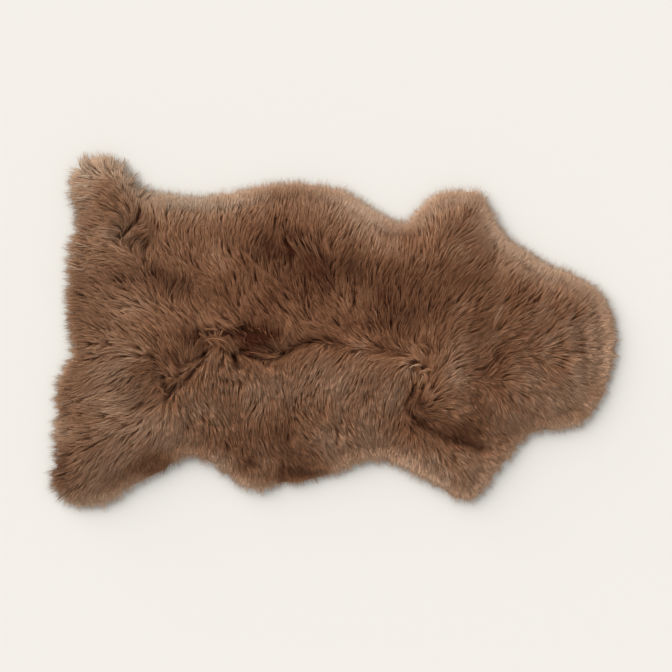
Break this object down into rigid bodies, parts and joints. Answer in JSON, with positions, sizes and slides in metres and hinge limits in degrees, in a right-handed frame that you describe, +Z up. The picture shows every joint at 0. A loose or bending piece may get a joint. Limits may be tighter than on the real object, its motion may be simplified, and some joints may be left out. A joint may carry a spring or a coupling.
{
  "type": "sheepskin throw",
  "caption": "Single brown sheepskin throw lying flat, wool up, with the skin's own outline of legs and neck and long combed wool parted along its folds.",
  "frame": {"origin": "on the surface the throw lies on, under the middle of its outline, locks of wool included", "axes": "+X along the back from rump to neck, +Y to the skin's left flank, +Z up out of the wool"},
  "size_m": [1.0018, 0.628, 0.0548],
  "materials": {
    "wool": "long brown sheep's wool, combed, matt with a faint sheen, paler at the tips",
    "pelt": "tanned suede of the skin side, under the wool"
  },
  "bodies": {
    "root": {"sheepskin": "wool"}
  },
  "joints": []
}
